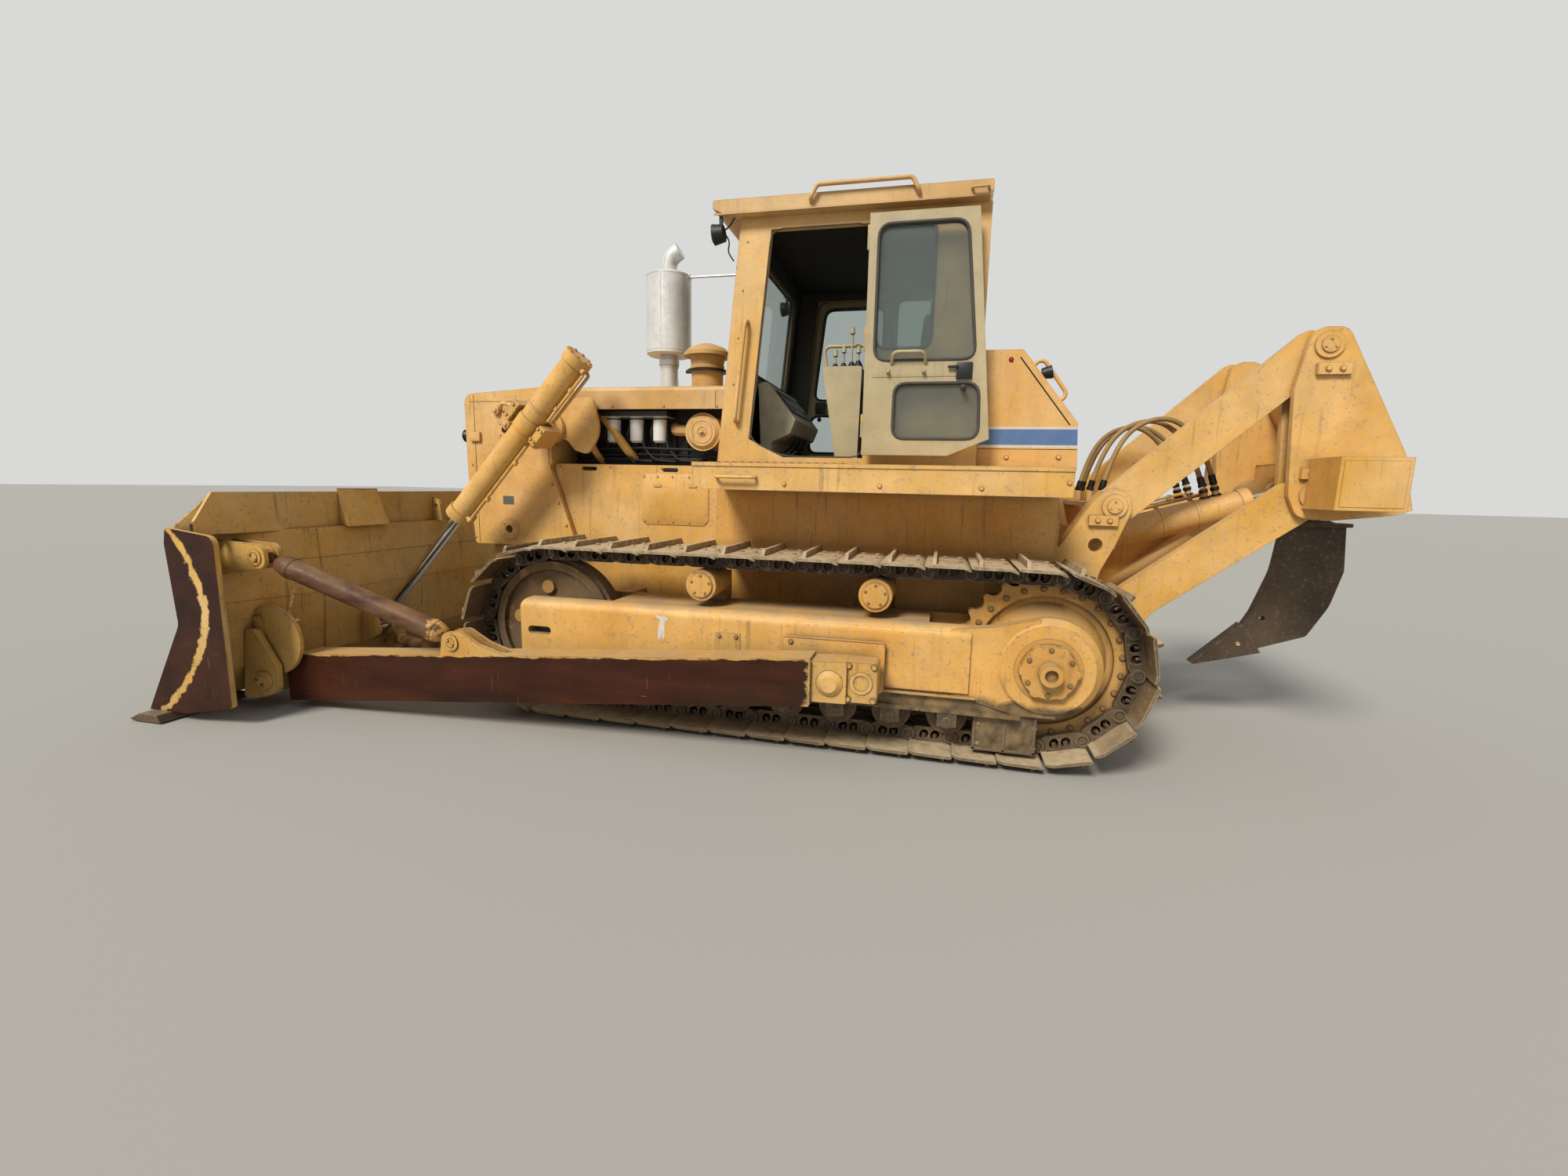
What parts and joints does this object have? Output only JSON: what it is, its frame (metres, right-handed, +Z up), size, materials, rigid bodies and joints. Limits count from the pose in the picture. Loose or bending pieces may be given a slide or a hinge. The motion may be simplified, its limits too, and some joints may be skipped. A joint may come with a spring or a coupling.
{
  "type": "crawler bulldozer",
  "caption": "Crawler bulldozer with semi-U blade, closed cab, tall exhaust stack and rear parallelogram ripper, parked with its left door swung open.",
  "frame": {"origin": "middle of the machine at ground level", "axes": "+X forward to the blade, +Y to the left side, +Z up"},
  "size_m": [7.62, 4.3, 3.397],
  "materials": {
    "yellow_paint": "weathered yellow enamel",
    "worn_steel": "brown ground-worn steel",
    "track_steel": "dusty forged steel",
    "bright_rod": "hard chromed rod",
    "exhaust_steel": "aluminised sheet, stained",
    "cream_paint": "cream enamel",
    "cab_trim": "khaki moulded trim",
    "seat_cover": "black vinyl",
    "dark_iron": "oily dark iron",
    "filter_white": "white enamel",
    "cab_glass": "clear safety glass",
    "hose_rubber": "dusty hydraulic hose"
  },
  "bodies": {
    "machine": {"air_cleaner": "yellow_paint", "cab_floor": "dark_iron", "cab_frame": "yellow_paint", "cab_glass": "cab_glass", "cab_roof": "yellow_paint", "carrier_rollers": "yellow_paint", "dash_console": "cab_trim", "engine_block": "dark_iron", "engine_filters": "filter_white", "engine_side_panels": "yellow_paint", "fenders": "yellow_paint", "final_drives": "yellow_paint", "hood": "yellow_paint", "idlers": "worn_steel", "lever_console": "cream_paint", "lift_yokes": "yellow_paint", "main_frame": "yellow_paint", "muffler": "exhaust_steel", "operator_seat": "seat_cover", "precleaner": "yellow_paint", "radiator_grille": "yellow_paint", "radiator_guard": "yellow_paint", "rear_tank": "yellow_paint", "ripper_frame": "yellow_paint", "ripper_hose_1": "hose_rubber", "ripper_hose_2": "hose_rubber", "ripper_hose_3": "hose_rubber", "ripper_hose_4": "hose_rubber", "sprockets": "yellow_paint", "track_frames": "yellow_paint", "track_left": "track_steel", "track_right": "track_steel", "track_rollers": "track_steel"},
    "blade_frame": {"blade": "yellow_paint", "cutting_edges": "worn_steel", "push_arms": "yellow_paint", "braces": "worn_steel"},
    "lift_barrel_left": {"lift_cylinder_left": "yellow_paint"},
    "lift_barrel_right": {"lift_cylinder_right": "yellow_paint"},
    "lift_rod_left_body": {"lift_rod_left": "bright_rod"},
    "lift_rod_right_body": {"lift_rod_right": "bright_rod"},
    "door_left": {"cab_door_left": "cream_paint"},
    "door_right": {"cab_door_right": "cream_paint"},
    "ripper_arm_body": {"ripper_arm": "yellow_paint"},
    "ripper_link_body": {"ripper_links": "yellow_paint"},
    "ripper_tool": {"ripper_carrier": "yellow_paint", "ripper_shank": "worn_steel"},
    "ripper_barrel_body": {"ripper_cylinders": "yellow_paint"},
    "ripper_rod_body": {"ripper_rods": "bright_rod"}
  },
  "joints": [
    {"name": "blade_lift", "type": "hinge", "parent": "machine", "child": "blade_frame", "pos_m": [-0.63, 0, 0.51], "axis": [0, -1, 0], "range_deg": [-7, 16]},
    {"name": "ripper_lift", "type": "hinge", "parent": "machine", "child": "ripper_arm_body", "pos_m": [-2.256, 0, 0.662], "axis": [0, 1, 0], "range_deg": [-45, 0]},
    {"name": "ripper_link_swing", "type": "hinge", "parent": "machine", "child": "ripper_link_body", "pos_m": [-2.23, 0, 1.51], "axis": [0, 1, 0], "range_deg": [-45, 0]},
    {"name": "ripper_tool_level", "type": "hinge", "parent": "ripper_arm_body", "child": "ripper_tool", "pos_m": [-3.291, 0, 1.603], "axis": [0, 1, 0], "range_deg": [0, 45]},
    {"name": "ripper_barrel_swing", "type": "hinge", "parent": "machine", "child": "ripper_barrel_body", "pos_m": [-2.14, 0, 1.265], "axis": [0, 1, 0], "range_deg": [-40.24, 0]},
    {"name": "ripper_rod_slide", "type": "slide", "parent": "ripper_barrel_body", "child": "ripper_rod_body", "axis": [-0.9595, 0, 0.2818], "range_m": [0, 0.456]},
    {"name": "lift_barrel_left_swing", "type": "hinge", "parent": "machine", "child": "lift_barrel_left", "pos_m": [1.72, 0.85, 1.985], "axis": [0, -1, 0], "range_deg": [-9.94, 22.72]},
    {"name": "lift_rod_left_slide", "type": "slide", "parent": "lift_barrel_left", "child": "lift_rod_left_body", "axis": [0.6743, 0, -0.7384], "range_m": [-0.749, 0.328]},
    {"name": "lift_barrel_right_swing", "type": "hinge", "parent": "machine", "child": "lift_barrel_right", "pos_m": [1.72, -0.85, 1.985], "axis": [0, -1, 0], "range_deg": [-9.94, 22.72]},
    {"name": "lift_rod_right_slide", "type": "slide", "parent": "lift_barrel_right", "child": "lift_rod_right_body", "axis": [0.6743, 0, -0.7384], "range_m": [-0.749, 0.328]},
    {"name": "door_left_swing", "type": "hinge", "parent": "machine", "child": "door_left", "pos_m": [-0.67, 0.913, 0], "axis": [0, 0, -1], "range_deg": [0, 180]},
    {"name": "door_right_swing", "type": "hinge", "parent": "machine", "child": "door_right", "pos_m": [-0.67, -0.913, 0], "axis": [0, 0, -1], "range_deg": [0, 180]}
  ],
  "couplings": [
    {"joint": "ripper_link_swing", "follows": "ripper_lift", "ratio": 1},
    {"joint": "ripper_tool_level", "follows": "ripper_lift", "ratio": -1},
    {"joint": "ripper_barrel_swing", "follows": "ripper_lift", "ratio": 0.894},
    {"joint": "ripper_rod_slide", "follows": "ripper_lift", "m_per_rad": -0.5795},
    {"joint": "lift_barrel_left_swing", "follows": "blade_lift", "ratio": 1.42},
    {"joint": "lift_rod_left_slide", "follows": "blade_lift", "m_per_rad": -2.68},
    {"joint": "lift_barrel_right_swing", "follows": "blade_lift", "ratio": 1.42},
    {"joint": "lift_rod_right_slide", "follows": "blade_lift", "m_per_rad": -2.68}
  ]
}
